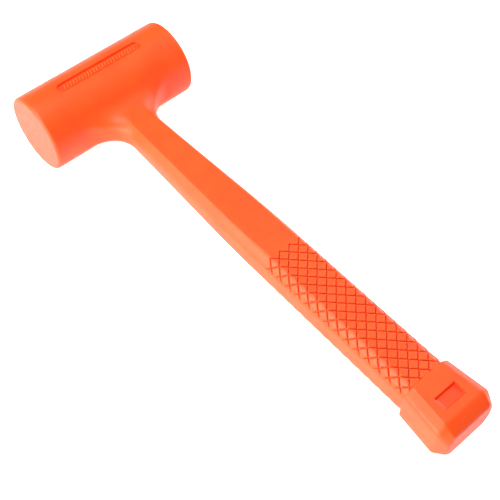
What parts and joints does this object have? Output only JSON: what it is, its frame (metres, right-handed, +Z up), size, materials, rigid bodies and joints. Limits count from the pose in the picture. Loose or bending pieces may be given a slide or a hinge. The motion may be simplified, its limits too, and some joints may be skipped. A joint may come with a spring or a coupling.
{
  "type": "dead blow mallet",
  "caption": "Small one-piece moulded dead blow mallet with a plain round head, a diamond-padded grip and a square butt; shot slides in a steel canister in the head.",
  "frame": {"origin": "centre of the bottom of the bounding box: below the middle of the mallet as it lies on its side", "axes": "+X along the head's axis, out of the right strike face; +Y from the butt to the head's crown; +Z up, out of the side with the slot and the recess"},
  "size_m": [0.09, 0.2846, 0.0424],
  "materials": {
    "urethane": "satin moulded urethane, faintly translucent",
    "core_steel": "drawn mild steel",
    "fastener_steel": "zinc plated",
    "shot_steel": "tumbled steel",
    "spacer_plastic": "natural plastic"
  },
  "bodies": {
    "mallet": {"anchor_pin_front": "fastener_steel", "anchor_pin_rear": "fastener_steel", "body_moulding": "urethane", "butt_cap": "urethane", "canister_cap_left": "core_steel", "canister_cap_right": "core_steel", "canister_tube": "core_steel", "handle_rod": "core_steel", "rod_nut": "fastener_steel", "rod_socket": "core_steel", "rod_spacer_front": "spacer_plastic", "rod_spacer_rear": "spacer_plastic", "rod_washer": "fastener_steel", "socket_pin": "fastener_steel"},
    "shot_charge": {"shot_01": "shot_steel", "shot_02": "shot_steel", "shot_03": "shot_steel", "shot_04": "shot_steel", "shot_05": "shot_steel", "shot_06": "shot_steel", "shot_07": "shot_steel", "shot_08": "shot_steel", "shot_09": "shot_steel", "shot_10": "shot_steel", "shot_11": "shot_steel", "shot_12": "shot_steel", "shot_13": "shot_steel", "shot_14": "shot_steel", "shot_15": "shot_steel", "shot_16": "shot_steel", "shot_17": "shot_steel", "shot_18": "shot_steel", "shot_19": "shot_steel", "shot_20": "shot_steel", "shot_21": "shot_steel", "shot_22": "shot_steel", "shot_23": "shot_steel", "shot_24": "shot_steel", "shot_25": "shot_steel", "shot_26": "shot_steel", "shot_27": "shot_steel", "shot_28": "shot_steel", "shot_29": "shot_steel", "shot_30": "shot_steel", "shot_31": "shot_steel", "shot_32": "shot_steel", "shot_33": "shot_steel", "shot_34": "shot_steel", "shot_35": "shot_steel"}
  },
  "joints": [
    {"name": "shot_slide", "type": "slide", "parent": "mallet", "child": "shot_charge", "axis": [1, 0, 0], "range_m": [-0.0077, 0.0077]}
  ]
}
